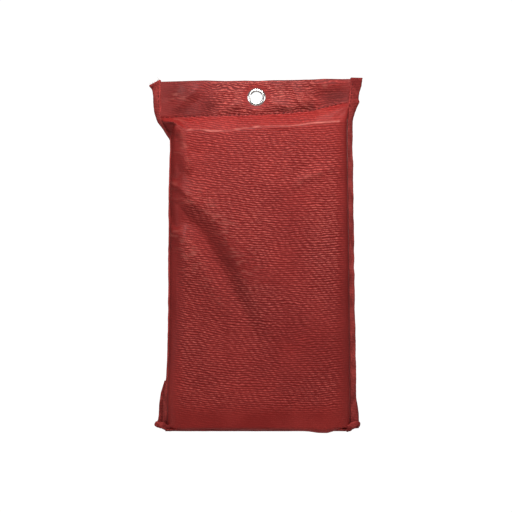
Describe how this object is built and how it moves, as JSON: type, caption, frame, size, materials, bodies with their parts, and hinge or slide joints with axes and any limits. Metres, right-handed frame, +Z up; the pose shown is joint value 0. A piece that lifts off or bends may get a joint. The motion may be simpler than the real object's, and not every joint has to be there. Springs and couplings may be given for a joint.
{
  "type": "fire blanket",
  "caption": "Soft red fabric wall pouch with a hanging eyelet and a hook-and-loop bottom flap, holding a folded woven fire blanket with pull tapes.",
  "frame": {"origin": "middle of the base of the closed pouch, on the floor plane it would stand on", "axes": "+Z up towards the eyelet, +Y towards the back (the wall side), +X to the right when seen from the front"},
  "size_m": [0.1694, 0.0296, 0.2858],
  "materials": {
    "red_cloth": "woven polyester with a satin waterproof coating",
    "red_binding": "folded woven edge tape, stitched",
    "eyelet_nickel": "bright nickel plate on pressed brass",
    "woven_glass": "plain-woven glass fibre cloth, off-white, slight sheen",
    "black_webbing": "flat woven polyester webbing, matte",
    "hook_and_loop": "matte nap on one pad, small stiff hooks on the other"
  },
  "bodies": {
    "header": {"header_front_layer": "red_cloth", "header_back_layer": "red_cloth", "left_header_binding": "red_binding", "right_header_binding": "red_binding", "eyelet_barrel": "eyelet_nickel", "eyelet_washer": "eyelet_nickel"},
    "pouch": {"front_panel": "red_cloth", "back_panel": "red_cloth", "cross_seam_roll": "red_cloth", "left_side_binding": "red_binding", "right_side_binding": "red_binding", "loop_pad": "hook_and_loop"},
    "flap_base": {"flap_floor": "red_cloth", "left_floor_binding": "red_binding", "right_floor_binding": "red_binding"},
    "flap_end": {"flap_panel": "red_cloth", "left_flap_binding": "red_binding", "right_flap_binding": "red_binding", "hook_pad": "hook_and_loop"},
    "blanket": {"folded_blanket": "woven_glass", "left_pull_tape": "black_webbing", "right_pull_tape": "black_webbing"},
    "left_tab": {"left_pull_tab": "black_webbing"},
    "right_tab": {"right_pull_tab": "black_webbing"}
  },
  "joints": [
    {"name": "pouch_swing", "type": "hinge", "parent": "header", "child": "pouch", "pos_m": [0, -0.00285, 0.2574], "axis": [-1, 0, 0], "range_deg": [-70, 60]},
    {"name": "blanket_pull", "type": "slide", "parent": "pouch", "child": "blanket", "axis": [0, 0, -1], "range_m": [0, 0.256], "deforming": ["flap_floor", "flap_panel", "hook_pad"]},
    {"name": "flap_open", "type": "hinge", "parent": "pouch", "child": "flap_base", "pos_m": [0, -0.01395, 0.0008], "axis": [-1, 0, 0], "range_deg": [0, 105]},
    {"name": "flap_unfold", "type": "hinge", "parent": "flap_base", "child": "flap_end", "pos_m": [0, 0.01355, 0.0008], "axis": [-1, 0, 0], "range_deg": [0, 90]},
    {"name": "left_tab_lift", "type": "hinge", "parent": "blanket", "child": "left_tab", "pos_m": [-0.037, 0.01135, 0.0528], "axis": [-1, 0, 0], "range_deg": [0, 115]},
    {"name": "right_tab_lift", "type": "hinge", "parent": "blanket", "child": "right_tab", "pos_m": [0.037, 0.01135, 0.0528], "axis": [-1, 0, 0], "range_deg": [0, 115]}
  ],
  "couplings": [
    {"joint": "flap_open", "follows": "blanket_pull", "rad_per_m": 7.15},
    {"joint": "flap_unfold", "follows": "blanket_pull", "rad_per_m": 6.13}
  ]
}
